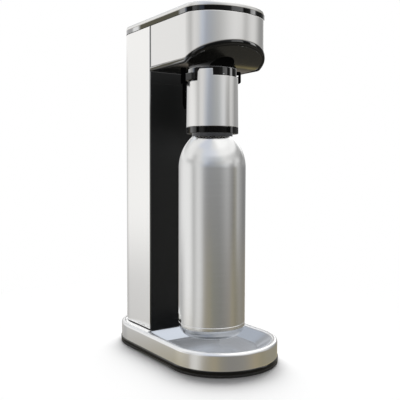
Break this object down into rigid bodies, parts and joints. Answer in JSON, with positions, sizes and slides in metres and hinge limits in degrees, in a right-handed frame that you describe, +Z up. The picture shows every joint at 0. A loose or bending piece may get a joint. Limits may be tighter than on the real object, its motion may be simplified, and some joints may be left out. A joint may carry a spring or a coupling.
{
  "type": "soda carbonator",
  "caption": "Free-standing soda carbonator: oval base with drip tray, slim tower, overhanging head with press button, steel bottle on a stepped infuser.",
  "frame": {"origin": "middle of the footprint, on the surface that the feet stand on; the front with the bottle faces -Y", "axes": "Z up along the tower and the bottle; Y runs from front to back; X from left to right, seen from the front"},
  "size_m": [0.1374, 0.2508, 0.419],
  "materials": {
    "brushed_steel_skin": "satin stainless sheet with a fine vertical grain",
    "satin_aluminium": "pressed and bead-blasted satin silver",
    "steel_bottle": "spun and brushed stainless steel",
    "gloss_black": "moulded black with a gloss skin",
    "matte_black": "moulded black with a fine eggshell grain",
    "rubber": "moulded black rubber",
    "steel_parts": "turned and drawn steel",
    "brass_parts": "turned brass",
    "cylinder_aluminium": "lacquered drawn aluminium",
    "clear_plastic": "milky extruded tube"
  },
  "bodies": {
    "stand": {"base_shell": "satin_aluminium", "base_plate": "matte_black", "rubber_feet": "rubber", "base_screws": "steel_parts", "tower_frame": "matte_black", "front_panel": "matte_black", "cylinder_guides": "matte_black", "head_frame": "matte_black", "head_band": "brushed_steel_skin", "head_underside": "gloss_black", "top_band": "gloss_black", "lid": "brushed_steel_skin", "lid_screws": "steel_parts", "button_guide": "matte_black", "lever_pivot_pin": "steel_parts", "valve_block": "brass_parts", "safety_valve": "brass_parts", "cylinder_seal": "rubber", "gas_tube": "steel_parts", "dock_collar": "matte_black", "dock_nozzle": "brass_parts", "dock_seal": "rubber", "dock_nose": "gloss_black", "dock_rails": "matte_black"},
    "tray": {"drip_tray": "satin_aluminium"},
    "cover": {"rear_cover": "brushed_steel_skin"},
    "cylinder": {"gas_cylinder": "cylinder_aluminium", "cylinder_valve": "brass_parts"},
    "button": {"press_button": "gloss_black", "button_spring": "steel_parts"},
    "lever": {"press_lever": "steel_parts"},
    "pin": {"valve_pin": "brass_parts"},
    "infuser": {"infuser_body": "gloss_black", "infuser_sleeve": "brushed_steel_skin", "infuser_collar": "gloss_black", "bottle_seal": "rubber", "dip_tube": "clear_plastic", "vent_lever_pin": "steel_parts", "vent_lever_spring": "steel_parts", "hook_lever_pin": "steel_parts", "hook_lever_spring": "steel_parts"},
    "long_release": {"vent_lever": "matte_black"},
    "short_release": {"hook_lever": "matte_black"},
    "bottle": {"bottle": "steel_bottle", "bottle_base": "steel_bottle"}
  },
  "joints": [
    {"name": "button_press", "type": "slide", "parent": "stand", "child": "button", "axis": [0, 0, -1], "range_m": [0, 0.006], "stiffness_N_per_m": 900, "springref_m": -0.004, "deforming": ["button_spring"]},
    {"name": "lever_tilt", "type": "hinge", "parent": "stand", "child": "lever", "pos_m": [0, 0.0882, 0.3993], "axis": [1, 0, 0], "range_deg": [0, 3]},
    {"name": "valve_push", "type": "slide", "parent": "stand", "child": "pin", "axis": [0, 0, -1], "range_m": [0, 0.0015]},
    {"name": "bottle_out", "type": "slide", "parent": "stand", "child": "infuser", "axis": [0, -1, 0], "range_m": [0, 0.13]},
    {"name": "bottle_turn", "type": "hinge", "parent": "infuser", "child": "bottle", "pos_m": [0, -0.0378, 0.0276], "axis": [0, 0, 1], "range_deg": [-150, 0]},
    {"name": "long_release_lift", "type": "hinge", "parent": "infuser", "child": "long_release", "pos_m": [-0.02151, -0.02099, 0.3407], "axis": [0.6157, 0.788, 0], "range_deg": [0, 22], "stiffness_Nm_per_rad": 0.05, "springref_deg": -11.46},
    {"name": "short_release_lift", "type": "hinge", "parent": "infuser", "child": "short_release", "pos_m": [0.02151, -0.05461, 0.3461], "axis": [-0.6157, -0.788, 0], "range_deg": [0, 22], "stiffness_Nm_per_rad": 0.03, "springref_deg": -11.46},
    {"name": "cover_off", "type": "slide", "parent": "stand", "child": "cover", "axis": [0, 1, 0], "range_m": [0, 0.14]},
    {"name": "cylinder_down", "type": "slide", "parent": "stand", "child": "cylinder", "axis": [0, 0, -1], "range_m": [0, 0.009]},
    {"name": "tray_lift", "type": "slide", "parent": "stand", "child": "tray", "axis": [0, 0, 1], "range_m": [0, 0.01]}
  ],
  "couplings": [
    {"joint": "lever_tilt", "follows": "button_press", "rad_per_m": 7.9365},
    {"joint": "valve_push", "follows": "button_press", "ratio": 0.20635}
  ]
}
